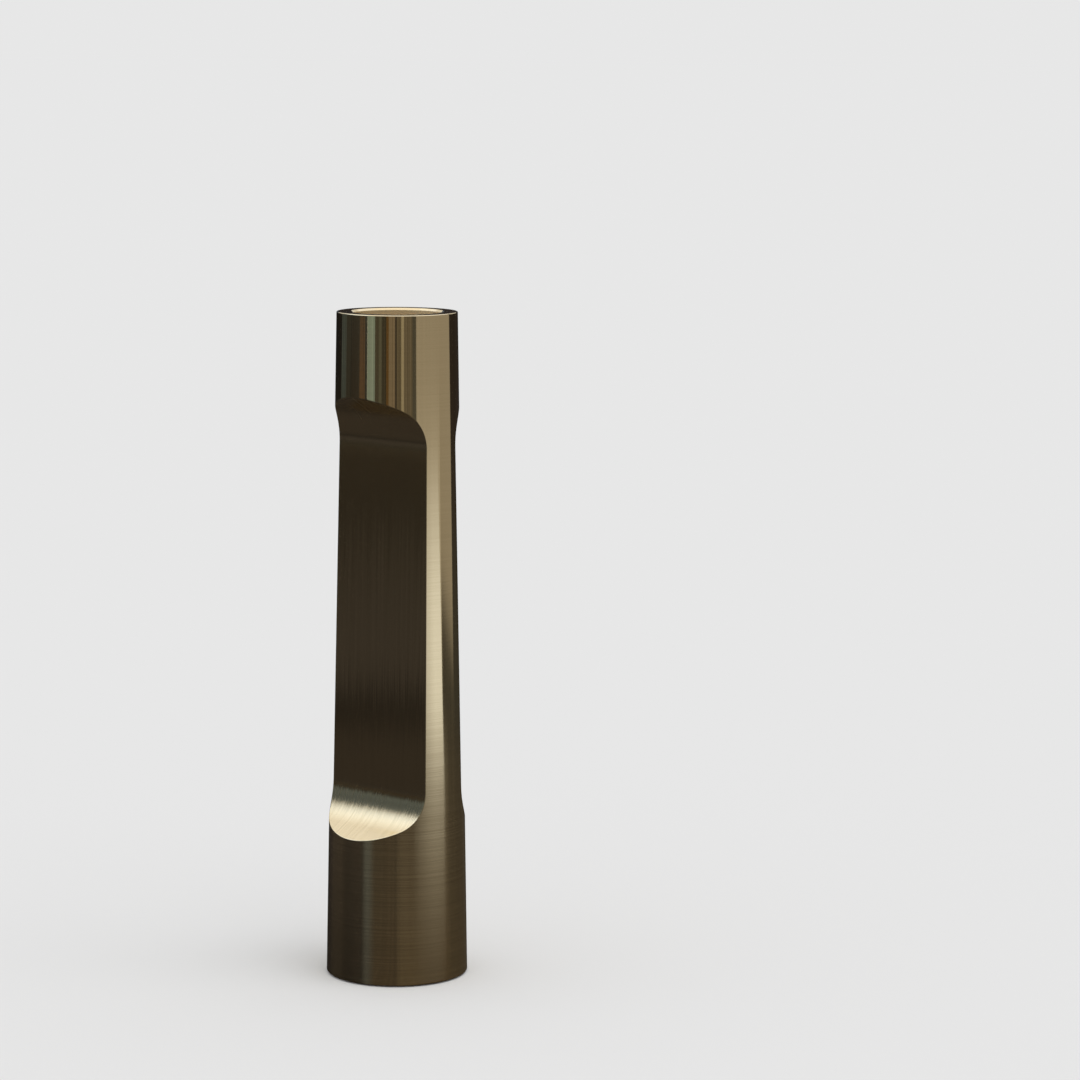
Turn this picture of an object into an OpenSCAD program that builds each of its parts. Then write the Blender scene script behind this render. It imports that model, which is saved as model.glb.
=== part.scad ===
// Single-stem vase: a tapered brass bar with two long flats milled on opposite sides.
// The stem stands in a glass tube that drops into a deep bore, and the vase stands on a cork pad.
// +Z is up, the origin is the centre of the pad's underside, and the flats face -Y and +Y.

/* [Body] */
// Height of the brass body
body_h = 150; // [140:1:200]
// Diameter of the brass at its base
base_d = 32; // [31:0.5:38]
// Diameter of the brass at its rim
rim_d = 27; // [26:0.5:30]
// Edge break round the base
base_break = 0.3; // [0.1:0.1:1]
// Edge break round the outside of the rim
rim_break = 0.2; // [0.1:0.1:0.6]

/* [Mouth] */
// Diameter of the mouth
mouth_d = 20; // [17:0.5:22]
// Depth of the mouth, from the rim to its flat floor
mouth_depth = 14; // [10:0.5:15]
// Chamfer round the mouth
mouth_chamfer = 0.5; // [0.2:0.1:1]

/* [Flats] */
// Depth of each flat, square to the tapered side
flat_depth = 9.2; // [7:0.1:9.6]
// Height of the lower lip of each flat above the base of the brass
lower_lip = 32.5; // [28:0.5:60]
// Drop from the rim to the upper lip of each flat
upper_land = 18.5; // [18:0.5:40]
// Radius of the curve between each flat and its end ramps
ramp_r = 10; // [6:0.5:12]
// Angle of the end ramps to the flat
ramp_angle = 60; // [45:1:75]

/* [Glass tube] */
// Outer diameter of the tube
tube_d = 6.6; // [5:0.1:6.8]
// Wall of the tube
tube_wall = 0.7; // [0.5:0.1:1]
// Length of the tube, with its lip and its round end
tube_len = 112; // [80:1:112]
// Diameter of the tube's lip
lip_d = 10; // [9:0.1:10.4]
// Thickness of the tube's lip
lip_t = 1.2; // [0.8:0.1:1.6]
// Width of the flare that opens the tube's mouth
lip_flare = 0.5; // [0.2:0.1:0.8]
// Drop from the floor of the mouth to the top of the lip
lip_drop = 0.3; // [0.1:0.1:1]

/* [Seat ring] */
// Outer diameter of the silicone ring under the tube's lip
ring_d = 11.6; // [11:0.1:12.4]
// Thickness of the ring
ring_t = 1.5; // [1:0.1:2.5]
// Rounding of the ring's inner and outer edges
ring_round = 0.3; // [0.1:0.1:0.4]

/* [Foot pad] */
// Diameter of the cork pad
pad_d = 25.6; // [20:0.2:27]
// Thickness of the pad
pad_t = 1.1; // [0.8:0.1:2]
// How far the pad stands below the brass
pad_proud = 0.3; // [0.2:0.1:0.6]

/* [Clearances] */
// Radial clearance between the tube and the bore round it
tube_clear = 0.3; // [0.2:0.05:0.4]
// Radial clearance between the tube and the seat ring
ring_bore_clear = 0.15; // [0.1:0.05:0.3]
// Radial clearance between the seat ring and its recess
ring_clear = 0.2; // [0.1:0.05:0.3]
// Radial clearance between the pad and its recess
pad_clear = 0.2; // [0.1:0.05:0.4]
// Clearance under the tube's round end
tube_end_clear = 2; // [1:0.5:6]

/* [Hidden] */
$fn = 96;

// Included angle of the drill that ends the tube's bore
drill_angle = 118;
// How far a cutter runs past the brass
overrun = 5;

base_r = base_d / 2;
rim_r = rim_d / 2;
mouth_r = mouth_d / 2;
tube_r = tube_d / 2;
lip_r = lip_d / 2;
ring_r = ring_d / 2;
pad_r = pad_d / 2;

// The side narrows by side_run for each millimetre of height, which is side_angle from upright
side_run = (base_r - rim_r) / body_h;
side_angle = atan(side_run);

// Heights above the surface that the pad stands on
brass_z = pad_proud;
rim_z = brass_z + body_h;
mouth_floor_z = rim_z - mouth_depth;
lip_z = mouth_floor_z - lip_drop - lip_t;
ring_z = lip_z - ring_t;
tube_end_z = lip_z + lip_t - tube_len;
well_r = tube_r + tube_clear;
well_z = tube_end_z - tube_end_clear;
drill_tip = well_r / tan(drill_angle / 2);

// A flat's end: the ramp starts where the curve has turned through ramp_angle
curve_rise = ramp_r * (1 - cos(ramp_angle));
curve_run = ramp_r * sin(ramp_angle);
lip_on_ramp = flat_depth > curve_rise;
end_run = lip_on_ramp
    ? curve_run + (flat_depth - curve_rise) / tan(ramp_angle)
    : sqrt(pow(ramp_r, 2) - pow(ramp_r - flat_depth, 2));

// Outer radius of the brass at a height above its base
function side_r(h) = base_r - h * side_run;

// Outline of the turned body, from its axis outwards
module turned_outline() {
    polygon([
        [0, brass_z + pad_t - pad_proud],
        [pad_r + pad_clear, brass_z + pad_t - pad_proud],
        [pad_r + pad_clear, brass_z],
        [base_r - base_break, brass_z],
        [side_r(base_break), brass_z + base_break],
        [side_r(body_h - rim_break), rim_z - rim_break],
        [rim_r - rim_break, rim_z],
        [mouth_r + mouth_chamfer, rim_z],
        [mouth_r, rim_z - mouth_chamfer],
        [mouth_r, mouth_floor_z],
        [ring_r + ring_clear, mouth_floor_z],
        [ring_r + ring_clear, ring_z],
        [well_r, ring_z],
        [well_r, well_z],
        [0, well_z - drill_tip],
    ]);
}

// Outline of what a flat's cutter takes away: X is out from the flat, Y is up along it.
// The lower lip lies at Y = lower_lip and the upper one at Y = upper_lip, both at X = flat_depth.
module flat_outline() {
    upper_lip = body_h / cos(side_angle) - upper_land;
    low = lower_lip + end_run;
    high = upper_lip - end_run;
    reach = flat_depth + overrun;
    ramp_reach = (reach - curve_rise) / tan(ramp_angle);
    polygon([
        [0, low],
        [curve_rise, low - curve_run],
        [reach, low - curve_run - ramp_reach],
        [reach, high + curve_run + ramp_reach],
        [curve_rise, high + curve_run],
        [0, high],
    ]);
    intersection() {
        union() {
            translate([ramp_r, low]) circle(ramp_r);
            translate([ramp_r, high]) circle(ramp_r);
        }
        translate([0, low - ramp_r]) square([reach, high - low + 2 * ramp_r]);
    }
}

// Cutter for one flat, parallel to the tapered side that faces +X
module flat_cutter() {
    width = base_d + 2 * overrun;
    translate([base_r, 0, brass_z])
        rotate([0, -side_angle, 0])
            translate([-flat_depth, width / 2, 0])
                rotate([90, 0, 0])
                    linear_extrude(width) flat_outline();
}

// Brass body, turned from bar, bored from the rim, and milled flat on both sides
module vase_body() {
    color("#b0935a") difference() {
        rotate_extrude() turned_outline();
        for (side = [-90, 90]) rotate([0, 0, side]) flat_cutter();
    }
}

// Glass tube with a round end and a flanged lip
module water_tube() {
    straight = tube_len - tube_r;
    inner_r = tube_r - tube_wall;
    color("#cfe0dc", 0.5) translate([0, 0, lip_z + lip_t]) difference() {
        union() {
            translate([0, 0, -straight]) cylinder(r = tube_r, h = straight);
            translate([0, 0, -straight]) sphere(tube_r);
            rotate_extrude() translate([0, -lip_t]) {
                square([lip_r - lip_t / 2, lip_t]);
                translate([lip_r - lip_t / 2, lip_t / 2]) circle(lip_t / 2);
            }
        }
        translate([0, 0, -straight]) cylinder(r = inner_r, h = straight + overrun);
        translate([0, 0, -straight]) sphere(inner_r);
        translate([0, 0, -lip_flare]) cylinder(r1 = inner_r, r2 = inner_r + 2 * lip_flare, h = 2 * lip_flare);
    }
}

// Silicone ring that the tube's lip rests on, with rounded edges
module seat_ring() {
    bore_r = tube_r + ring_bore_clear;
    color("#d9d6cd") translate([0, 0, ring_z]) rotate_extrude() {
        translate([bore_r + ring_round, 0]) square([ring_r - bore_r - 2 * ring_round, ring_t]);
        translate([bore_r, ring_round]) square([ring_r - bore_r, ring_t - 2 * ring_round]);
        for (x = [bore_r + ring_round, ring_r - ring_round], y = [ring_round, ring_t - ring_round])
            translate([x, y]) circle(ring_round);
    }
}

// Cork disc set into the underside, a little proud of the brass
module foot_pad() {
    color("#b98f5e") cylinder(r = pad_r, h = pad_t);
}

vase_body();
water_tube();
seat_ring();
foot_pad();
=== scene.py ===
"""A slim brass bud vase: turned from bar, bored from the rim, and milled flat on two sides.

The sections follow the vase as it is put together: the brass body, the silicone ring in its
mouth, the glass tube that drops through the ring, and the cork pad under it. The floor, the
lights, the camera and the cards that the brass mirrors come last.
"""

from math import acos, asin, atan, cos, pi, radians, sin, tan

import bpy
from mathutils import Matrix, Vector


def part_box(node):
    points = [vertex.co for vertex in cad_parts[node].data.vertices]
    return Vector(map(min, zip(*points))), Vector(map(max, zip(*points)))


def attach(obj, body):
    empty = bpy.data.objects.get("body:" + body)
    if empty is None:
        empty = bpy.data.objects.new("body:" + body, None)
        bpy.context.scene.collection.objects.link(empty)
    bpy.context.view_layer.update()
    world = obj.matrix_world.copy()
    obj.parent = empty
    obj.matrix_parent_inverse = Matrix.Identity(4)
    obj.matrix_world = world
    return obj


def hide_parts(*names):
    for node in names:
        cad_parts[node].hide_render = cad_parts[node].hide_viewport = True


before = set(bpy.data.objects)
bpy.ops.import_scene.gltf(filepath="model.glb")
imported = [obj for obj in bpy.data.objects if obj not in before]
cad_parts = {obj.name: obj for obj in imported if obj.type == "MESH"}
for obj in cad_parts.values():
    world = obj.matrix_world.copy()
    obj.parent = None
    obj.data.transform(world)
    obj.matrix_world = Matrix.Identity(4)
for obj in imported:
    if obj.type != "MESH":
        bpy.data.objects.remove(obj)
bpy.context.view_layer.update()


# Vase body. One brass bar, turned to a straight taper and bored from the rim. A cutter then
# mills a long flat into the front and the back. Each flat ends in a 10 mm radius and a short
# ramp up to its lip. The turned side keeps its feed marks, and the flats are brushed lengthways.

mm = 0.001
body_low, body_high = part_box("vase_body")
pad_low, pad_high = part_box("foot_pad")
ring_low, ring_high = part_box("seat_ring")
tube_low, tube_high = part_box("water_tube")

foot_z = body_low.z
rim_z = body_high.z
body_h = rim_z - foot_z
base_r = 16 * mm
rim_r = 13.5 * mm
base_break = 0.3 * mm
rim_break = 0.2 * mm
mouth_r = 10 * mm
mouth_depth = 14 * mm
mouth_chamfer = 0.5 * mm
chamfer_break = 0.1 * mm
pad_recess_r = 13 * mm
ring_recess_r = 6 * mm
well_r = 3.6 * mm
tube_end_gap = 2 * mm
well_z = tube_low.z - tube_end_gap
drill_point = radians(118)
drill_tip = well_r / tan(drill_point / 2)

side_slope = (rim_r - base_r) / body_h
tilt = atan(-side_slope)
flat_depth = 9.2 * mm
lower_lip = 32.5 * mm
upper_land = 18.5 * mm
upper_lip = body_h / cos(tilt) - upper_land
ramp_r = 10 * mm
ramp_angle = radians(60)
edge_round = 0.2 * mm
ramp_slope = tan(ramp_angle)
curve_rise = ramp_r * (1 - cos(ramp_angle))
curve_run = ramp_r * sin(ramp_angle)
end_run = curve_run + (flat_depth - curve_rise) / ramp_slope
flat_middle = (lower_lip + upper_lip) / 2
flat_half = (upper_lip - lower_lip) / 2 - end_run

# The columns and rows of the body's mesh lie closest together at the edges of the flats
columns_round = 240
edge_column = radians(60)
crowding = 1.7
land_rows = 26
flat_rows = 60
row_crowding = 2.2
arc_steps = 8
same_place = 0.001 * mm


def outline(corners, support=0.4):
    """Points of a turned outline from its corners: (radius, height) or (radius, height, rounding).
    A point beyond each end of a rounding keeps the shading of the faces beside it even."""
    points = []
    for i, corner in enumerate(corners):
        here = Vector(corner[:2])
        if len(corner) == 2:
            points.append(here)
            continue
        before = (Vector(corners[i - 1][:2]) - here).normalized()
        after = (Vector(corners[(i + 1) % len(corners)][:2]) - here).normalized()
        half = before.angle(after) / 2
        reach = corner[2] / tan(half)
        centre = here + (before + after).normalized() * corner[2] / sin(half)
        points.append(here + before * reach * (1 + support))
        for step in range(arc_steps + 1):
            way = (here + before * reach).lerp(here + after * reach, step / arc_steps) - centre
            points.append(centre + way.normalized() * corner[2])
        points.append(here + after * reach * (1 + support))
    return points


def polyline(name, points):
    """An outline as a mesh of edges in the XZ plane, which the lathe turns about Z."""
    mesh = bpy.data.meshes.new(name)
    edges = [(i, i + 1) for i in range(len(points) - 1)]
    mesh.from_pydata([(p.x, 0, p.y) for p in points], edges, [])
    thing = bpy.data.objects.new(name, mesh)
    bpy.context.scene.collection.objects.link(thing)
    return thing


def crowded(start, end, steps):
    """Heights from start to end, without start, that lie closer together towards the end."""
    return [start + (end - start) * (1 - (1 - i / steps) ** row_crowding) for i in range(1, steps + 1)]


def add(tree, kind, values=None, **settings):
    """Adds a node with its settings, and gives each socket a value or a link."""
    node = tree.nodes.new(kind)
    for key, value in settings.items():
        setattr(node, key, value)
    for key, value in (values or {}).items():
        if isinstance(value, bpy.types.Node):
            value = next(o for o in value.outputs if o.enabled)
        socket = next(s for i, s in enumerate(node.inputs) if s.enabled and key in (i, s.name))
        if isinstance(value, bpy.types.NodeSocket):
            tree.links.new(value, socket)
        else:
            socket.default_value = value
    return node


def new_tree(name, sockets, result):
    """A geometry node tree with named inputs, each (name, type, default), and one output."""
    tree = bpy.data.node_groups.new(name, "GeometryNodeTree")
    for label, kind, default in sockets:
        socket = tree.interface.new_socket(label, in_out="INPUT", socket_type=kind)
        if default is not None:
            socket.default_value = default
    tree.interface.new_socket(result[0], in_out="OUTPUT", socket_type=result[1])
    return tree, tree.nodes.new("NodeGroupInput").outputs


def made(thing, *steps):
    """Runs each (tree, settings) on a piece as a modifier, and keeps the result as a plain mesh."""
    for tree, settings in steps:
        modifier = thing.modifiers.new(tree.name, "NODES")
        modifier.node_group = tree
        for item in tree.interface.items_tree:
            if item.in_out == "INPUT" and item.name in settings:
                modifier[item.identifier] = settings[item.name]
    graph = bpy.context.evaluated_depsgraph_get()
    mesh = bpy.data.meshes.new_from_object(thing.evaluated_get(graph))
    mesh.materials.pop(index=0)  # the empty slot that Set Material leaves for what it doesn't cover
    thing.modifiers.clear()
    thing.data = mesh
    return thing


# Lathe: a grid with a row for each point of the outline, rolled up about Z
lathe, given = new_tree("Lathe", [
    ("Outline", "NodeSocketGeometry", None),
    ("Columns Round", "NodeSocketInt", 96),
    ("Sharp Angle", "NodeSocketFloat", radians(30)),
    ("Merge Distance", "NodeSocketFloat", same_place),
    ("Material", "NodeSocketMaterial", None),
], ("Turned Piece", "NodeSocketGeometry"))
rows = add(lathe, "GeometryNodeAttributeDomainSize", {"Geometry": given["Outline"]}).outputs["Point Count"]
stations = add(lathe, "ShaderNodeMath", {0: given["Columns Round"], 1: 1.0}, operation="ADD")
grid = add(lathe, "GeometryNodeMeshGrid", {"Vertices X": stations, "Vertices Y": rows})
index = add(lathe, "GeometryNodeInputIndex")
row = add(lathe, "ShaderNodeMath", {0: index, 1: rows}, operation="MODULO")
column = add(lathe, "ShaderNodeMath", {0: index, 1: rows}, operation="DIVIDE")
column = add(lathe, "ShaderNodeMath", {0: column}, operation="FLOOR")
turn = add(lathe, "ShaderNodeMath", {0: column, 1: given["Columns Round"]}, operation="DIVIDE")
turn = add(lathe, "ShaderNodeMath", {0: turn, 1: 2 * pi}, operation="MULTIPLY")
point = add(lathe, "GeometryNodeInputPosition")
point = add(lathe, "GeometryNodeSampleIndex", {
    "Geometry": given["Outline"], "Value": point, "Index": row,
}, data_type="FLOAT_VECTOR")
rolled = add(lathe, "ShaderNodeVectorRotate", {"Vector": point, "Angle": turn}, rotation_type="Z_AXIS")
shape = add(lathe, "GeometryNodeSetPosition", {"Geometry": grid.outputs["Mesh"], "Position": rolled})
shape = add(lathe, "GeometryNodeMergeByDistance", {"Geometry": shape, "Distance": given["Merge Distance"]})
shape = add(lathe, "GeometryNodeSetShadeSmooth", {"Geometry": shape, "Shade Smooth": True})
bend = add(lathe, "GeometryNodeInputMeshEdgeAngle").outputs["Unsigned Angle"]
sharp = add(lathe, "FunctionNodeCompare", {"A": bend, "B": given["Sharp Angle"]}, operation="GREATER_THAN")
shape = add(lathe, "GeometryNodeSetShadeSmooth", {
    "Geometry": shape, "Selection": sharp, "Shade Smooth": False,
}, domain="EDGE")
shape = add(lathe, "GeometryNodeRealizeInstances", {"Geometry": shape})
shape = add(lathe, "GeometryNodeSetMaterial", {"Geometry": shape, "Material": given["Material"]})
add(lathe, "NodeGroupOutput", {"Turned Piece": shape})

# Flat outline: how far the milled surface stands out from the flat, at a distance along it
flat_outline, given = new_tree("Flat Outline", [
    ("Along", "NodeSocketFloat", 0.0),
    ("Middle", "NodeSocketFloat", flat_middle),
    ("Half Length", "NodeSocketFloat", flat_half),
    ("Curve Radius", "NodeSocketFloat", ramp_r),
    ("Curve Run", "NodeSocketFloat", curve_run),
    ("Ramp Slope", "NodeSocketFloat", ramp_slope),
], ("Rise", "NodeSocketFloat"))
past = add(flat_outline, "ShaderNodeMath", {0: given["Along"], 1: given["Middle"]}, operation="SUBTRACT")
past = add(flat_outline, "ShaderNodeMath", {0: past}, operation="ABSOLUTE")
past = add(flat_outline, "ShaderNodeMath", {0: past, 1: given["Half Length"]}, operation="SUBTRACT")
past = add(flat_outline, "ShaderNodeMath", {0: past, 1: 0.0}, operation="MAXIMUM")
share = add(flat_outline, "ShaderNodeMath", {0: past, 1: given["Curve Run"]}, operation="MINIMUM")
share = add(flat_outline, "ShaderNodeMath", {0: share, 1: given["Curve Radius"]}, operation="DIVIDE")
lean = add(flat_outline, "ShaderNodeMath", {0: share}, operation="ARCSINE")
lean = add(flat_outline, "ShaderNodeMath", {0: lean}, operation="COSINE")
curve = add(flat_outline, "ShaderNodeMath", {0: 1.0, 1: lean}, operation="SUBTRACT")
curve = add(flat_outline, "ShaderNodeMath", {0: curve, 1: given["Curve Radius"]}, operation="MULTIPLY")
ramp = add(flat_outline, "ShaderNodeMath", {0: past, 1: given["Curve Run"]}, operation="SUBTRACT")
ramp = add(flat_outline, "ShaderNodeMath", {0: ramp, 1: 0.0}, operation="MAXIMUM")
rise = add(flat_outline, "ShaderNodeMath", {
    0: ramp, 1: given["Ramp Slope"], 2: curve}, operation="MULTIPLY_ADD")
add(flat_outline, "NodeGroupOutput", {"Rise": rise})

# Flat distance: how far the milled surface is from the vase's axis, at a height. The flat leans
# with the tapered side, so the distance along it comes from its rise, which is found twice.
flat_distance, given = new_tree("Flat Distance", [
    ("Height", "NodeSocketFloat", 0.0),
    ("Base Radius", "NodeSocketFloat", base_r),
    ("Tilt", "NodeSocketFloat", tilt),
    ("Depth", "NodeSocketFloat", flat_depth),
], ("Distance", "NodeSocketFloat"))
tilt_sine = add(flat_distance, "ShaderNodeMath", {0: given["Tilt"]}, operation="SINE")
tilt_cosine = add(flat_distance, "ShaderNodeMath", {0: given["Tilt"]}, operation="COSINE")
along = add(flat_distance, "ShaderNodeMath", {0: given["Height"], 1: tilt_cosine}, operation="DIVIDE")
for look in ("first", "second"):
    rise = flat_distance.nodes.new("GeometryNodeGroup")
    rise.node_tree = flat_outline
    flat_distance.links.new(along.outputs[0], rise.inputs["Along"])
    inward = add(flat_distance, "ShaderNodeMath", {0: given["Depth"], 1: rise}, operation="SUBTRACT")
    along = add(flat_distance, "ShaderNodeMath", {
        0: inward, 1: tilt_sine, 2: given["Height"]}, operation="MULTIPLY_ADD")
    along = add(flat_distance, "ShaderNodeMath", {0: along, 1: tilt_cosine}, operation="DIVIDE")
inward = add(flat_distance, "ShaderNodeMath", {0: inward, 1: tilt_cosine}, operation="MULTIPLY")
inward = add(flat_distance, "ShaderNodeMath", {0: along, 1: tilt_sine, 2: inward}, operation="MULTIPLY_ADD")
distance = add(flat_distance, "ShaderNodeMath", {0: given["Base Radius"], 1: inward}, operation="SUBTRACT")
add(flat_distance, "NodeGroupOutput", {"Distance": distance})


def lip_corner(lip, way):
    """Height, and angle from the flat's middle, where the ramp from a lip meets the curve."""
    inward = flat_depth - curve_rise
    along = lip + way * inward / ramp_slope
    height = along * cos(tilt) - inward * sin(tilt)
    out = base_r - inward * cos(tilt) - along * sin(tilt)
    return height, acos(out / (base_r + side_slope * height))


low_corner, low_corner_angle = lip_corner(lower_lip, 1)
high_corner, high_corner_angle = lip_corner(upper_lip, -1)

# Mill flats: moves the points of the turned side to the milled surface. Its columns and rows
# first bend to follow the flats' edges, so that each edge is a clean narrow rounding.
least_cut = 0.12 * mm
mill, given = new_tree("Mill Flats", [
    ("Turned Piece", "NodeSocketGeometry", None),
    ("Foot Height", "NodeSocketFloat", foot_z),
    ("Body Height", "NodeSocketFloat", body_h),
    ("Base Radius", "NodeSocketFloat", base_r),
    ("Side Slope", "NodeSocketFloat", side_slope),
    ("Edge Column", "NodeSocketFloat", edge_column),
    ("Column Crowding", "NodeSocketFloat", crowding),
    ("Edge Round", "NodeSocketFloat", edge_round),
    ("Least Cut", "NodeSocketFloat", least_cut),
    ("Low Lip", "NodeSocketFloat", lower_lip * cos(tilt)),
    ("Low Corner", "NodeSocketFloat", low_corner),
    ("Low Corner Angle", "NodeSocketFloat", low_corner_angle),
    ("High Lip", "NodeSocketFloat", upper_lip * cos(tilt)),
    ("High Corner", "NodeSocketFloat", high_corner),
    ("High Corner Angle", "NodeSocketFloat", high_corner_angle),
    ("Milled Finish", "NodeSocketMaterial", None),
], ("Milled Piece", "NodeSocketGeometry"))
position = add(mill, "GeometryNodeInputPosition")
place = add(mill, "ShaderNodeSeparateXYZ", {0: position}).outputs
height = add(mill, "ShaderNodeMath", {0: place["Z"], 1: given["Foot Height"]}, operation="SUBTRACT")
radius = add(mill, "ShaderNodeVectorMath", {0: position, 1: (1, 1, 0)}, operation="MULTIPLY")
radius = add(mill, "ShaderNodeVectorMath", {0: radius}, operation="LENGTH").outputs["Value"]
side_r = add(mill, "ShaderNodeMath", {
    0: height, 1: given["Side Slope"], 2: given["Base Radius"]}, operation="MULTIPLY_ADD")
on_side = add(mill, "ShaderNodeMath", {0: radius, 1: side_r, 2: same_place}, operation="COMPARE")

# The angle from the middle of the nearer flat, which faces -Y or +Y
front = add(mill, "ShaderNodeMath", {0: place["Y"], 1: -1.0}, operation="MULTIPLY")
angle = add(mill, "ShaderNodeMath", {0: place["X"], 1: front}, operation="ARCTAN2")
from_flat = add(mill, "ShaderNodeMath", {0: angle, 1: pi / 2, 2: -pi / 2}, operation="WRAP")
flat_angle = add(mill, "ShaderNodeMath", {0: angle, 1: from_flat}, operation="SUBTRACT")
hand = add(mill, "ShaderNodeMath", {0: from_flat}, operation="SIGN")
spread = add(mill, "ShaderNodeMath", {0: from_flat}, operation="ABSOLUTE")

# Shares of the way from a flat's middle to its edge, and from there to the side's middle
within = add(mill, "ShaderNodeMapRange", {
    "Value": spread, "From Min": 0.0, "From Max": given["Edge Column"], "To Min": 1.0, "To Max": 0.0})
within = add(mill, "ShaderNodeMath", {0: within, 1: given["Column Crowding"]}, operation="POWER")
within = add(mill, "ShaderNodeMath", {0: 1.0, 1: within}, operation="SUBTRACT")
beyond = add(mill, "ShaderNodeMapRange", {
    "Value": spread, "From Min": given["Edge Column"], "From Max": pi / 2, "To Min": 0.0, "To Max": 1.0})
beyond = add(mill, "ShaderNodeMath", {0: beyond, 1: given["Column Crowding"]}, operation="POWER")

# Rows near a lip bend down or up to follow it
bent = height
for end, limit in (("Low", 0.0), ("High", given["Body Height"])):
    lip, corner, corner_angle = given[end + " Lip"], given[end + " Corner"], given[end + " Corner Angle"]
    lip_angle = add(mill, "ShaderNodeMath", {0: within, 1: corner_angle}, operation="MULTIPLY")
    lip_cosine = add(mill, "ShaderNodeMath", {0: lip_angle}, operation="COSINE")
    corner_cosine = add(mill, "ShaderNodeMath", {0: corner_angle}, operation="COSINE")
    lip_height = add(mill, "ShaderNodeMapRange", {
        "Value": lip_cosine, "From Min": 1.0, "From Max": corner_cosine, "To Min": lip, "To Max": corner})
    shift = add(mill, "ShaderNodeMath", {0: lip_height, 1: corner}, operation="SUBTRACT")
    room = add(mill, "ShaderNodeMath", {0: corner, 1: limit}, operation="SUBTRACT")
    away = add(mill, "ShaderNodeMath", {0: height, 1: corner}, operation="SUBTRACT")
    away = add(mill, "ShaderNodeMath", {0: away, 1: room}, operation="DIVIDE")
    away = add(mill, "ShaderNodeMath", {0: away}, operation="ABSOLUTE")
    near = add(mill, "ShaderNodeMath", {0: 1.0, 1: away}, operation="SUBTRACT", use_clamp=True)
    bent = add(mill, "ShaderNodeMath", {0: shift, 1: near, 2: bent}, operation="MULTIPLY_ADD")

# Columns follow the flat's edge between the corners, and fade to even ones at the foot and rim
edge_height = add(mill, "ShaderNodeClamp", {
    "Value": bent, "Min": given["Low Corner"], "Max": given["High Corner"]})
edge_distance = mill.nodes.new("GeometryNodeGroup")
edge_distance.node_tree = flat_distance
mill.links.new(edge_height.outputs[0], edge_distance.inputs["Height"])
edge_side = add(mill, "ShaderNodeMath", {
    0: edge_height, 1: given["Side Slope"], 2: given["Base Radius"]}, operation="MULTIPLY_ADD")
edge_cosine = add(mill, "ShaderNodeMath", {0: edge_distance, 1: edge_side}, operation="DIVIDE")
edge_angle = add(mill, "ShaderNodeMath", {0: edge_cosine}, operation="ARCCOSINE")
outside = add(mill, "ShaderNodeMath", {0: pi / 2, 1: edge_angle}, operation="SUBTRACT")
outside = add(mill, "ShaderNodeMath", {0: outside, 1: beyond}, operation="MULTIPLY")
followed = add(mill, "ShaderNodeMath", {0: edge_angle, 1: within, 2: outside}, operation="MULTIPLY_ADD")
low_fade = add(mill, "ShaderNodeMapRange", {
    "Value": height, "From Min": 0.0, "From Max": given["Low Corner"]}, interpolation_type="SMOOTHSTEP")
high_fade = add(mill, "ShaderNodeMapRange", {
    "Value": height, "From Min": given["Body Height"], "From Max": given["High Corner"],
}, interpolation_type="SMOOTHSTEP")
hold = add(mill, "ShaderNodeMath", {0: low_fade, 1: high_fade}, operation="MINIMUM")
spread = add(mill, "ShaderNodeMix", {"Factor": hold, "A": spread, "B": followed})

# The smaller of the turned and the milled radius, with a small rounding between them. The cosine
# is kept above zero, because at the middle of the side the flat's radius would have no end.
least_cosine = 0.01
cut_distance = mill.nodes.new("GeometryNodeGroup")
cut_distance.node_tree = flat_distance
mill.links.new(bent.outputs[0], cut_distance.inputs["Height"])
slant = add(mill, "ShaderNodeMath", {0: spread}, operation="COSINE")
slant = add(mill, "ShaderNodeMath", {0: slant, 1: least_cosine}, operation="MAXIMUM")
milled_r = add(mill, "ShaderNodeMath", {0: cut_distance, 1: slant}, operation="DIVIDE")
turned_r = add(mill, "ShaderNodeMath", {
    0: bent, 1: given["Side Slope"], 2: given["Base Radius"]}, operation="MULTIPLY_ADD")
left_r = add(mill, "ShaderNodeMath", {
    0: turned_r, 1: milled_r, 2: given["Edge Round"]}, operation="SMOOTH_MIN")
cut = add(mill, "ShaderNodeMath", {0: turned_r, 1: left_r}, operation="SUBTRACT")
turn = add(mill, "ShaderNodeMath", {0: hand, 1: spread, 2: flat_angle}, operation="MULTIPLY_ADD")
level = add(mill, "ShaderNodeMath", {0: bent, 1: given["Foot Height"]}, operation="ADD")
moved = add(mill, "ShaderNodeMath", {0: left_r, 1: -1.0}, operation="MULTIPLY")
moved = add(mill, "ShaderNodeCombineXYZ", {"Y": moved, "Z": level})
moved = add(mill, "ShaderNodeVectorRotate", {"Vector": moved, "Angle": turn}, rotation_type="Z_AXIS")
shape = add(mill, "GeometryNodeStoreNamedAttribute", {
    "Geometry": given["Turned Piece"], "Selection": on_side, "Name": "cut_depth", "Value": cut})
shape = add(mill, "GeometryNodeSetPosition", {"Geometry": shape, "Selection": on_side, "Position": moved})
depth = add(mill, "GeometryNodeInputNamedAttribute", {"Name": "cut_depth"})
milled = add(mill, "FunctionNodeCompare", {"A": depth, "B": given["Least Cut"]}, operation="GREATER_THAN")
shape = add(mill, "GeometryNodeRealizeInstances", {"Geometry": shape})
shape = add(mill, "GeometryNodeSetMaterial", {
    "Geometry": shape, "Selection": milled, "Material": given["Milled Finish"]})
add(mill, "NodeGroupOutput", {"Milled Piece": shape})


def colour(code):
    """An sRGB hex colour as linear red, green, blue and alpha."""
    shares = [int(code[i:i + 2], 16) / 255 for i in (1, 3, 5)]
    return [s / 12.92 if s <= 0.04045 else ((s + 0.055) / 1.055) ** 2.4 for s in shares] + [1.0]


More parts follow.
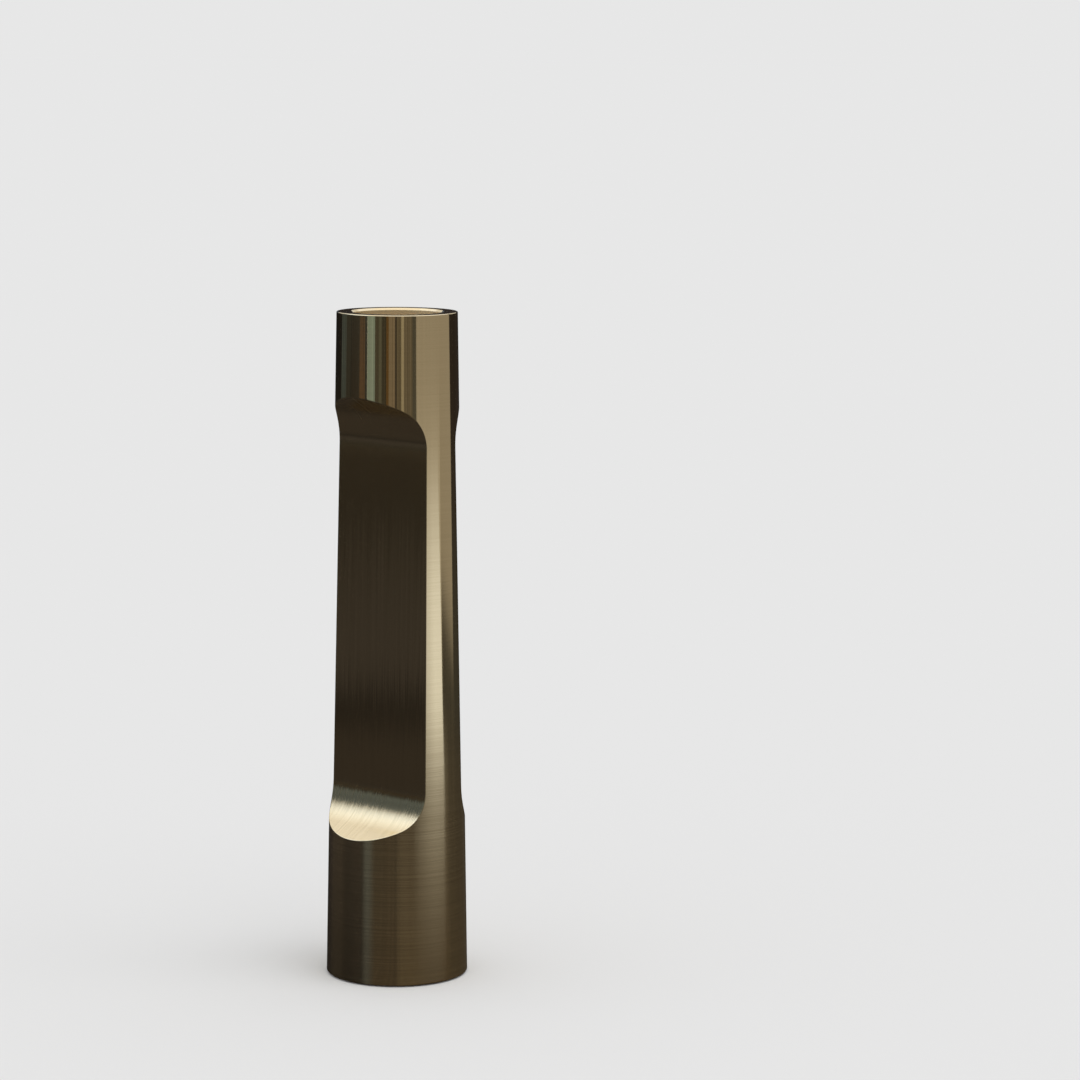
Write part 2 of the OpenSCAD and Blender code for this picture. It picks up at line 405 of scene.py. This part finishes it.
def finish(name):
    """A new material with an empty node tree."""
    material = bpy.data.materials.new(name)
    material.use_nodes = True
    material.node_tree.nodes.clear()
    return material, material.node_tree


# Free-cutting brass, turned with a fine feed and left as cut: it mirrors in sharp upright
# stripes, because the feed marks run round it and blur what it mirrors up and down only.
# The marks are drawn 0.16 mm apart, coarser than a fine feed leaves them, so that they show.
# Some of them hold a faint film. Towards the foot, where hands and cloths rub most, the film is
# stronger and the brass duller, and the bored mouth is duller still.
turned_brass, tree = finish("turned_brass_as_cut")
here = add(tree, "ShaderNodeTexCoord").outputs["Object"]
tint_low, tint_high = 0.38, 0.62
noise_middle = 0.5
mark_pitch = 0.16 * mm
mark_length = 30 * mm
mark_depth = 0.02 * mm
mark_roughness = 0.02
stretched = add(tree, "ShaderNodeMapping", {
    "Vector": here, "Scale": (1 / mark_length, 1 / mark_length, 1 / mark_pitch)})
marks = add(tree, "ShaderNodeTexNoise", {"Vector": stretched, "Scale": 1.0, "Detail": 2.0})
up = add(tree, "ShaderNodeSeparateXYZ", {0: here}).outputs["Z"]
worn_foot = 35 * mm
worn_top = 65 * mm
top_roughness, foot_roughness, bore_roughness = 0.1, 0.175, 0.85
top_film, foot_film = 0.25, 1.0
wear = add(tree, "ShaderNodeMapRange", {
    "Value": up, "From Min": worn_top, "From Max": worn_foot,
    "To Min": top_roughness, "To Max": foot_roughness})
rough = add(tree, "ShaderNodeMapRange", {
    "Value": marks, "To Min": -mark_roughness, "To Max": mark_roughness})
rough = add(tree, "ShaderNodeMath", {0: rough, 1: wear}, operation="ADD")
from_axis = add(tree, "ShaderNodeVectorMath", {0: here, 1: (1, 1, 0)}, operation="MULTIPLY")
from_axis = add(tree, "ShaderNodeVectorMath", {0: from_axis}, operation="LENGTH").outputs["Value"]
bored = add(tree, "ShaderNodeMapRange", {
    "Value": from_axis, "From Min": mouth_r + chamfer_break, "From Max": mouth_r,
    "To Min": 0.0, "To Max": bore_roughness})
rough = add(tree, "ShaderNodeMath", {0: rough, 1: bored}, operation="ADD")
film = add(tree, "ShaderNodeMapRange", {"Value": marks, "From Min": tint_low, "From Max": tint_high})
film_share = add(tree, "ShaderNodeMapRange", {
    "Value": up, "From Min": worn_top, "From Max": worn_foot,
    "To Min": top_film, "To Max": foot_film})
tint = add(tree, "ShaderNodeMix", {
    "Factor": film, "A": colour("#EFDBAF"), "B": colour("#DDC99D")}, data_type="RGBA")
tint = add(tree, "ShaderNodeMix", {
    "Factor": film_share, "A": colour("#E6D2A6"), "B": tint}, data_type="RGBA")
relief = add(tree, "ShaderNodeBump", {"Height": marks, "Strength": 0.15, "Distance": mark_depth})
radial = add(tree, "ShaderNodeTangent", direction_type="RADIAL", axis="Z")
shade = add(tree, "ShaderNodeBsdfPrincipled", {
    "Base Color": tint, "Metallic": 1.0, "Roughness": rough, "Normal": relief,
    "Anisotropic": 0.95, "Anisotropic Rotation": 0.25, "Tangent": radial})
add(tree, "ShaderNodeOutputMaterial", {"Surface": shade})

# The same brass, milled and brushed along the flat: fine lines run lengthways and blur what it
# mirrors across only. Each brush stroke also nods a little along its way. The curves at the ends
# are duller and their strokes nod more, so that what they mirror breaks up into soft streaks.
# The lines are drawn 0.2 mm apart and the strokes 0.25 mm, coarser than real ones, so they show.
milled_brass, tree = finish("milled_brass")
here = add(tree, "ShaderNodeTexCoord").outputs["Object"]
line_pitch = 0.2 * mm
line_length = 60 * mm
line_depth = 0.01 * mm
least_roughness, most_roughness, curve_roughness = 0.1, 0.24, 0.08
stretched = add(tree, "ShaderNodeMapping", {
    "Vector": here, "Scale": (1 / line_pitch, 1 / line_length, 1 / line_length)})
lines = add(tree, "ShaderNodeTexNoise", {"Vector": stretched, "Scale": 1.0, "Detail": 2.0})
film = add(tree, "ShaderNodeMapRange", {"Value": lines, "From Min": tint_low, "From Max": tint_high})
tint = add(tree, "ShaderNodeMix", {
    "Factor": film, "A": colour("#EAD6AA"), "B": colour("#E1CDA1")}, data_type="RGBA")
relief = add(tree, "ShaderNodeBump", {"Height": lines, "Strength": 0.3, "Distance": line_depth})
stroke_pitch = 0.25 * mm
even_end = flat_half - 3 * mm
uneven_start = flat_half + 2 * mm
flat_nod, curve_nod = 0.08, 0.19
stretched = add(tree, "ShaderNodeMapping", {
    "Vector": here, "Scale": (1 / stroke_pitch, 1 / line_length, 1 / line_length)})
strokes = add(tree, "ShaderNodeTexNoise", {"Vector": stretched, "Scale": 1.0, "Detail": 3.0})
up = add(tree, "ShaderNodeSeparateXYZ", {0: here}).outputs["Z"]
off_middle = add(tree, "ShaderNodeMath", {0: up, 1: flat_middle}, operation="SUBTRACT")
off_middle = add(tree, "ShaderNodeMath", {0: off_middle}, operation="ABSOLUTE")
on_curve = add(tree, "ShaderNodeMapRange", {
    "Value": off_middle, "From Min": even_end, "From Max": uneven_start})
rough = add(tree, "ShaderNodeMapRange", {
    "Value": lines, "To Min": least_roughness, "To Max": most_roughness})
rough = add(tree, "ShaderNodeMath", {
    0: on_curve, 1: curve_roughness, 2: rough}, operation="MULTIPLY_ADD")
unevenness = add(tree, "ShaderNodeMapRange", {
    "Value": on_curve, "To Min": flat_nod, "To Max": curve_nod})
nod = add(tree, "ShaderNodeMath", {0: strokes, 1: noise_middle}, operation="SUBTRACT")
nod = add(tree, "ShaderNodeMath", {0: nod, 1: unevenness}, operation="MULTIPLY")
nod = add(tree, "ShaderNodeCombineXYZ", {"Z": nod})
facing = add(tree, "ShaderNodeVectorMath", {0: relief, 1: nod}, operation="ADD")
facing = add(tree, "ShaderNodeVectorMath", {0: facing}, operation="NORMALIZE")
across = add(tree, "ShaderNodeCombineXYZ", {"X": 1.0})
shade = add(tree, "ShaderNodeBsdfPrincipled", {
    "Base Color": tint, "Metallic": 1.0, "Roughness": rough, "Normal": facing,
    "Anisotropic": 0.9, "Tangent": across})
add(tree, "ShaderNodeOutputMaterial", {"Surface": shade})

# Heights of the side's rows, from just past the base's rounding to just short of the rim's
side_rows = crowded(2 * base_break, low_corner, land_rows)
side_rows += reversed(crowded(flat_middle, low_corner, flat_rows)[:-1])
side_rows += [flat_middle] + crowded(flat_middle, high_corner, flat_rows)
side_rows += reversed(crowded(body_h - 2 * rim_break, high_corner, land_rows)[:-1])
vase = polyline("turned_vase", outline(
    [(0, pad_high.z), (pad_recess_r, pad_high.z), (pad_recess_r, foot_z), (base_r, foot_z, base_break)]
    + [(base_r + side_slope * h, foot_z + h) for h in side_rows]
    + [(rim_r, rim_z, rim_break), (mouth_r + mouth_chamfer, rim_z, chamfer_break),
       (mouth_r, rim_z - mouth_chamfer, chamfer_break), (mouth_r, rim_z - mouth_depth),
       (ring_recess_r, rim_z - mouth_depth), (ring_recess_r, ring_low.z), (well_r, ring_low.z),
       (well_r, well_z), (0, well_z - drill_tip)]))
made(vase, (lathe, {"Columns Round": columns_round, "Material": turned_brass}),
     (mill, {"Milled Finish": milled_brass}))
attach(vase, "vase")
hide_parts("vase_body")


# Seat ring. A plain silicone washer, moulded with rounded edges. It lies in a recess in the
# floor of the mouth, under the lip of the glass tube, and keeps glass off brass.

ring_bore_r = 3.45 * mm
ring_round = 0.3 * mm
small_columns = 96

# Moulded silicone rubber: milky and softly lit through, with a matt bloom in faint patches
silicone, tree = finish("moulded_silicone_rubber")
here = add(tree, "ShaderNodeTexCoord").outputs["Object"]
bloom_patch = 1.5 * mm
light_reach = 0.6 * mm
bloom = add(tree, "ShaderNodeTexNoise", {"Vector": here, "Scale": 1 / bloom_patch, "Detail": 3.0})
rough = add(tree, "ShaderNodeMapRange", {"Value": bloom, "To Min": 0.4, "To Max": 0.55})
tint = add(tree, "ShaderNodeMix", {
    "Factor": bloom, "A": colour("#D6D3C9"), "B": colour("#E2DFD6")}, data_type="RGBA")
shade = add(tree, "ShaderNodeBsdfPrincipled", {
    "Base Color": tint, "Roughness": rough, "IOR": 1.41,
    "Subsurface Weight": 0.4, "Subsurface Scale": light_reach})
add(tree, "ShaderNodeOutputMaterial", {"Surface": shade})

ring_corners = outline([
    (ring_bore_r, ring_low.z, ring_round), (ring_high.x, ring_low.z, ring_round),
    (ring_high.x, ring_high.z, ring_round), (ring_bore_r, ring_high.z, ring_round)])
washer = polyline("seat_washer", ring_corners + ring_corners[:1])
made(washer, (lathe, {"Columns Round": small_columns, "Material": silicone}))
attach(washer, "vase")
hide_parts("seat_ring")


# Water tube. Borosilicate glass tubing, closed to a round end and opened to a flat lip in the
# flame, so every edge is fire polished. It hangs by its lip on the seat ring, and lifts out.

tube_r = 3.3 * mm
tube_wall = 0.7 * mm
tube_inner_r = tube_r - tube_wall
lip_t = 1.2 * mm
lip_flare = 0.5 * mm
flame_round = 0.15 * mm

# Borosilicate glass, worked in a flame: clear and smooth, with faint waves along its length
glass, tree = finish("borosilicate_glass_flame_worked")
here = add(tree, "ShaderNodeTexCoord").outputs["Object"]
draw_length = 40 * mm
draw_width = 3 * mm
draw_depth = 0.02 * mm
drawn = add(tree, "ShaderNodeMapping", {
    "Vector": here, "Scale": (1 / draw_width, 1 / draw_width, 1 / draw_length)})
draw = add(tree, "ShaderNodeTexNoise", {"Vector": drawn, "Scale": 1.0, "Detail": 1.0})
relief = add(tree, "ShaderNodeBump", {"Height": draw, "Strength": 0.1, "Distance": draw_depth})
shade = add(tree, "ShaderNodeBsdfPrincipled", {
    "Base Color": colour("#FBFDFC"), "Roughness": 0.0, "IOR": 1.47,
    "Transmission Weight": 1.0, "Normal": relief})
add(tree, "ShaderNodeOutputMaterial", {"Surface": shade})

tube = polyline("glass_tube", outline([
    (0, tube_low.z), (tube_r, tube_low.z, tube_r), (tube_r, tube_high.z - lip_t, flame_round),
    (tube_high.x, tube_high.z - lip_t, lip_t / 2), (tube_high.x, tube_high.z, lip_t / 2),
    (tube_inner_r + lip_flare, tube_high.z, flame_round),
    (tube_inner_r, tube_high.z - lip_flare, flame_round),
    (tube_inner_r, tube_low.z + tube_wall, tube_inner_r), (0, tube_low.z + tube_wall)], support=0))
made(tube, (lathe, {"Columns Round": small_columns, "Material": glass}))
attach(tube, "tube")
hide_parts("water_tube")


# Foot pad. A disc punched from 1.1 mm sheet of ground and pressed cork granules, glued into
# the recess under the vase. It stands 0.3 mm proud, so the brass never touches the table.

pad_edge_round = 0.12 * mm

# Pressed cork: granules of several browns with dark glue between them, dry, matt and pitted
cork, tree = finish("pressed_cork_granules")
here = add(tree, "ShaderNodeTexCoord").outputs["Object"]
granule = 1.2 * mm
glue_width = 0.06
pore = 0.25 * mm
pore_depth = 0.08 * mm
cells = add(tree, "ShaderNodeTexVoronoi", {"Vector": here, "Scale": 1 / granule})
seams = add(tree, "ShaderNodeTexVoronoi", {
    "Vector": here, "Scale": 1 / granule}, feature="DISTANCE_TO_EDGE")
pores = add(tree, "ShaderNodeTexNoise", {"Vector": here, "Scale": 1 / pore, "Detail": 4.0})
pick = add(tree, "ShaderNodeSeparateColor", {"Color": cells.outputs["Color"]})
tint = add(tree, "ShaderNodeMix", {
    "Factor": pick, "A": colour("#9E774A"), "B": colour("#D0A874")}, data_type="RGBA")
edge = add(tree, "ShaderNodeMapRange", {
    "Value": seams, "From Max": glue_width, "To Min": 0.8, "To Max": 0.0})
tint = add(tree, "ShaderNodeMix", {"Factor": edge, "A": tint, "B": colour("#5E4022")}, data_type="RGBA")
relief = add(tree, "ShaderNodeBump", {"Height": pores, "Strength": 0.5, "Distance": pore_depth})
shade = add(tree, "ShaderNodeBsdfPrincipled", {
    "Base Color": tint, "Roughness": 0.85, "IOR": 1.4, "Normal": relief})
add(tree, "ShaderNodeOutputMaterial", {"Surface": shade})

pad = polyline("cork_foot", outline([
    (0, pad_low.z), (pad_high.x, pad_low.z, pad_edge_round),
    (pad_high.x, pad_high.z, pad_edge_round), (0, pad_high.z)]))
made(pad, (lathe, {"Columns Round": small_columns, "Material": cork}))
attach(pad, "vase")
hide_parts("foot_pad")


# Studio. A sheet of pale paper under a plain pale sky and one soft lamp, at a level where a
# colour renders as it is written. The world and the lit paper have the same brightness.

paper_grey = 0.8
studio = bpy.context.scene
studio.view_settings.view_transform = "Standard"

world = bpy.data.worlds.new("pale_studio")
world.use_nodes = True
world.node_tree.nodes.clear()
sky = add(world.node_tree, "ShaderNodeBackground", {"Color": (paper_grey, paper_grey, paper_grey, 1.0)})
add(world.node_tree, "ShaderNodeOutputWorld", {"Surface": sky})
studio.world = world

paper, tree = finish("matt_white_paper")
shade = add(tree, "ShaderNodeBsdfDiffuse", {"Color": (paper_grey, paper_grey, paper_grey, 1.0)})
add(tree, "ShaderNodeOutputMaterial", {"Surface": shade})
paper_reach = 40.0
mesh = bpy.data.meshes.new("paper_floor")
mesh.from_pydata([(-paper_reach, -paper_reach, 0), (paper_reach, -paper_reach, 0),
                  (paper_reach, paper_reach, 0), (-paper_reach, paper_reach, 0)], [], [(0, 1, 2, 3)])
mesh.materials.append(paper)
floor = bpy.data.objects.new("paper_floor", mesh)
studio.collection.objects.link(floor)

# The lamp stands to the right, at a level that makes up what the sky leaves the paper short of
lamp_turn = radians(90)
lamp_height = radians(60)
lamp_softness = radians(50)
lamp = bpy.data.lights.new("soft_lamp", "SUN")
lamp.angle = lamp_softness
lamp.energy = pi * paper_grey * (1 / paper_grey - 1) / sin(lamp_height)
soft_lamp = bpy.data.objects.new("soft_lamp", lamp)
soft_lamp.matrix_world = (
    Matrix.Rotation(lamp_turn, 4, "Z") @ Matrix.Rotation(pi / 2 - lamp_height, 4, "X"))
soft_lamp.visible_glossy = False
studio.collection.objects.link(soft_lamp)


# Camera. The photograph was taken from 0.8 m, a little above the rim, with a long lens, and
# the camera was turned about its own view by a third of a degree.

eye = Vector((535.8, -589.1, 208.8)) * mm
yaw = radians(39.98)
pitch = radians(7.85)
roll = radians(0.33)
lens_mm = 119.3
sensor_mm = 36.0

camera_data = bpy.data.cameras.new("camera")
camera_data.sensor_width = sensor_mm
camera_data.lens = lens_mm
camera_data.clip_start = 10 * mm
camera = bpy.data.objects.new("camera", camera_data)
camera.matrix_world = (
    Matrix.Translation(eye) @ Matrix.Rotation(yaw, 4, "Z")
    @ Matrix.Rotation(pi / 2 - pitch, 4, "X") @ Matrix.Rotation(roll, 4, "Z"))
studio.collection.objects.link(camera)
studio.camera = camera


# Reflection cards. Brass shows what stands round it, so these curved cards give it a darker room
# to mirror: a table top, walls in upright stripes, a window on the right and daylight from above.
# Each card glows in set colours and no lamp lights it, so the light and shade of this room are
# painted, and the brass shows them as a painted reflection. Only mirrored rays see them, so they
# neither light the paper nor show in a picture.

camera_azimuth = atan(eye.x / -eye.y)
card_step = 3.0
streak_width = radians(2.5)

# How far the cards are from the vase's axis, and how high the table's cards lie, in mm
far_wall = 1000
near_wall = 300
curtain = 290
near_window = 160
vase_edge = 16
table_z = 0.02

glowing_card, tree = finish("glowing_card")
place = add(tree, "ShaderNodeSeparateXYZ", {0: add(tree, "ShaderNodeTexCoord").outputs["Object"]}).outputs
azimuth = add(tree, "ShaderNodeMath", {0: place["Y"], 1: place["X"]}, operation="ARCTAN2")
lines = add(tree, "ShaderNodeTexNoise", {
    "W": azimuth, "Scale": 1 / streak_width, "Detail": 3.0}, noise_dimensions="1D")
swing = add(tree, "ShaderNodeMath", {0: lines, 1: noise_middle}, operation="SUBTRACT")
amount = add(tree, "ShaderNodeAttribute", attribute_name="streaks").outputs["Fac"]
level = add(tree, "ShaderNodeMath", {0: swing, 1: amount, 2: 1.0}, operation="MULTIPLY_ADD")
glow = add(tree, "ShaderNodeAttribute", attribute_name="glow").outputs["Color"]
light = add(tree, "ShaderNodeEmission", {"Color": glow, "Strength": level})
clear = add(tree, "ShaderNodeBsdfTransparent")
cover = add(tree, "ShaderNodeAttribute", attribute_name="cover").outputs["Fac"]
light = add(tree, "ShaderNodeMixShader", {0: cover, 1: clear, 2: light})
add(tree, "ShaderNodeOutputMaterial", {"Surface": light})


def card(name, start, end, profile, power=1.0, streaks=0.0, lean=None, drop=0.0, fade=(0, 0)):
    """A glowing card that curves round the vase, from start to end in degrees to the right of the
    camera. Its profile lists distances from the axis and heights in mm, each with a colour and a
    cover from 0 to 1. Lean lists the degrees that each of its rows is turned on by, and drop is how
    much lower its first row ends than it starts. Fade lists the degrees over which its cover comes
    up from nothing at the start and goes back to it at the end. What the side mirrors leaves from
    the side and not from the axis, so the rows of all but full rings are turned back to where such
    a ray meets them."""
    steps = round((end - start) / card_step)
    points, faces, glows, covers = [], [], [], []
    for i in range(steps + 1):
        for j, (distance, height, code, solid) in enumerate(profile):
            along, up = i / steps, j / (len(profile) - 1)
            inside = (end - start) * along, (end - start) * (1 - along)
            turn = radians(start + (end - start) * along + (lean[j] if lean else 0))
            if end - start < 360:
                turn -= asin(base_r * sin(turn / 2) / (distance * mm))
            turn += camera_azimuth
            height -= drop * along * (1 - up)
            points.append((sin(turn) * distance * mm, -cos(turn) * distance * mm, height * mm))
            glows += [power * share for share in colour(code)]
            covers.append(solid * min([1] + [way / f for way, f in zip(inside, fade) if f]))
            if i and j:
                last = len(points) - 1
                faces.append((last, last - 1, last - 1 - len(profile), last - len(profile)))
    mesh = bpy.data.meshes.new(name)
    mesh.from_pydata(points, [], faces)
    mesh.attributes.new("glow", "FLOAT_COLOR", "POINT").data.foreach_set("color", glows)
    mesh.attributes.new("cover", "FLOAT", "POINT").data.foreach_set("value", covers)
    mesh.attributes.new("streaks", "FLOAT", "POINT").data.foreach_set("value", [streaks] * len(points))
    mesh.materials.append(glowing_card)
    thing = bpy.data.objects.new(name, mesh)
    studio.collection.objects.link(thing)
    for rays in ("camera", "diffuse", "transmission", "volume_scatter", "shadow"):
        setattr(thing, "visible_" + rays, False)


# The far wall on the left, in upright stripes. Each has one colour low down and one at the vase's
# height, and a darker rail and blue-grey bands lie above them all. The stripe behind is lower, so
# that the far bevel of the mouth mirrors the daylight over it.
for name, start, end, low_code, high_code, streaks, top in (
    ("night", -187, -128, "#282624", "#1A1919", 0.6, 400),
    ("teal", -128, -111, "#282624", "#465056", 1.6, 745),
    ("charcoal", -111, -97.5, "#282624", "#353533", 1.6, 745),
    ("gap", -97.5, -94.5, "#282624", "#222120", 0.0, 745),
    ("umber", -94.5, -75, "#2A2725", "#322E2A", 1.8, 745),
    ("amber", -75, -63, "#2A2725", "#64503D", 1.2, 745),
    ("soot", -63, -58, "#2A2725", "#323331", 0.8, 745),
):
    card("card_" + name, start, end, [
        (far_wall, 0, low_code, 1), (far_wall, 20, low_code, 1),
        (far_wall, 55, high_code, 1), (far_wall, 95, high_code, 1),
        (far_wall, 115, "#302D2A", 1), (far_wall, 140, "#302D2A", 1),
        (far_wall, 190, "#555F6A", 1), (far_wall, 260, "#626D79", 1),
        (far_wall, 350, "#4C555F", 1), (far_wall, top, "#606B77", 1)], streaks=streaks)

# The near wall, from the left of the camera round to the right and on behind the vase
for name, start, end, low_code, high_code, streaks, top in (
    ("pale_green", -58, -42.5, "#50555B", "#7F9093", 1.0, 300),
    ("olive", -42.5, -35, "#34312F", "#45433D", 1.2, 300),
    ("shelf", -35, -29, "#34312F", "#565751", 0.6, 300),
    ("moss", -29, -20.5, "#34312F", "#3C3A34", 1.2, 300),
    ("gold", -20.5, -16, "#34312F", "#5C482D", 0.4, 300),
    ("sand", -16, -4, "#34312F", "#766C61", 1.0, 300),
    ("post", -4, -1, "#34312F", "#383431", 0.0, 300),
    ("tan", -1, 7.5, "#34312F", "#5C564C", 1.4, 300),
    ("frame", 7.5, 12.5, "#34312F", "#989285", 0.3, 300),
    ("buff", 12.5, 28.5, "#34312F", "#635D54", 1.6, 300),
    ("dim", 28.5, 36, "#504E4C", "#4B4A46", 0.8, 300),
    ("dusk", 86, 128, "#3C3B39", "#2D2827", 1.4, 300),
    ("far_dusk", 128, 187, "#3C3B39", "#2D2827", 1.4, 220),
):
    card("card_" + name, start, end, [
        (near_wall, 0, low_code, 1), (near_wall, 40, low_code, 1),
        (near_wall, 110, high_code, 1), (near_wall, top, high_code, 1)], streaks=streaks)

# The pale wall on the right. Its foot is darker, and a pale sill in front of it fades in towards
# the right.
card("card_window_wall", 36, 86, [
    (near_wall, 0, "#504E4C", 1), (near_wall, 45, "#504E4C", 1), (near_wall, 85, "#B0ADAA", 1),
    (near_wall, 115, "#98938E", 1), (near_wall, 300, "#98938E", 1)], streaks=0.3)
card("card_window_sill", 36, 86, [
    (near_wall - 2, 0, "#A5A3A1", 1), (near_wall - 2, 45, "#B8B6B4", 1),
    (near_wall - 2, 85, "#B0ADAA", 1)], fade=(32, 0))

# The table top, which is satin, in layers that lie a hair above each other. Most layers are darker
# close to the vase, a painted shadow of the vase on the table. On the left it has a dark band, and a
# paler patch further round. Over it lie the painted shine of the pale stripe, a painted general sheen
# on the right and the painted shine of the window.
card("table_ring", -180, 180, [(1, table_z / 2, "#2A2726", 1), (far_wall, table_z / 2, "#2A2726", 1)])
# Each card's first colour, at the vase's edge, is darker: painted shadow of the vase on the table
card("table_left", -180, -50, [
    (vase_edge, table_z, "#252221", 1), (near_wall, table_z, "#373332", 1),
    (335, table_z, "#373332", 1), (360, table_z, "#1C1A19", 1), (405, table_z, "#1C1A19", 1),
    (440, table_z, "#403D3E", 1), (600, table_z, "#3C393A", 1), (850, table_z, "#393635", 1),
    (far_wall, table_z, "#252321", 1)], streaks=0.8)
card("table_far_left", -150, -94, [
    (vase_edge, 1.5 * table_z, "#2F2C2B", 1), (near_wall, 1.5 * table_z, "#45403F", 1),
], streaks=0.8, fade=(14, 14))
card("table_front", -50, 60, [
    (vase_edge, table_z, "#423B34", 1), (near_wall, table_z, "#4A4641", 1)], streaks=1.2)
card("table_right", 60, 180, [
    (vase_edge, table_z, "#453F38", 1), (near_wall, table_z, "#45413C", 1)], streaks=0.8)
card("table_sheen", -3, 100, [
    (vase_edge, 1.5 * table_z, "#524A40", 1), (near_window, 1.5 * table_z, "#59534D", 1),
    (near_wall, 1.5 * table_z, "#5E5953", 1)], streaks=0.6, fade=(9, 14))
card("table_pale_stripe_shine", -62, -38, [
    (vase_edge, 2 * table_z, "#3F4043", 1), (near_wall, 2 * table_z, "#585D64", 1)], fade=(8, 14))
card("table_window_shine", 26, 100, [
    (vase_edge, 2 * table_z, "#433A30", 1), (near_window, 2 * table_z, "#5C5650", 1),
    (230, 2 * table_z, "#6F6C68", 1), (near_wall, 2 * table_z, "#A09E9B", 1)], fade=(32, 14))

# A pale curtain, whose hem slopes down over the table, and the bright near window beside it
card("card_curtain", 85, 116.5, [
    (curtain, 48, "#98938E", 0), (curtain, 60, "#98938E", 1), (curtain, 300, "#98938E", 1)], drop=28)
card("card_near_window", 27, 87, [
    (near_window, 13, "#E8EFFF", 0), (near_window, 39, "#E8EFFF", 1),
    (near_window, 68, "#E8EFFF", 1), (near_window, 108, "#E8EFFF", 0),
], power=1.05, lean=(4, -1, -3, -7), fade=(44, 0))

# Daylight from above: a sky all round, a brighter one in front of it on the left, which the curves
# at the lower ends of the flats mirror, and a ceiling, which the flat rim mirrors
card("card_sky", -180, 180, [
    (320, 315, "#EAEEFF", 0), (310, 365, "#EAEEFF", 1), (200, 500, "#EAEEFF", 1)], power=1.38)
card("card_left_sky", -148, -60, [
    (290, 243, "#D4E2FF", 0), (287, 285, "#D4E2FF", 1), (275, 345, "#D4E2FF", 1),
    (255, 400, "#CED2DD", 1), (200, 500, "#CED2DD", 1)], power=2.06, fade=(30, 0))
card("card_ceiling", -180, 180, [(205, 498, "#F8F8FF", 1), (1, 520, "#F8F8FF", 1)], power=1.28)
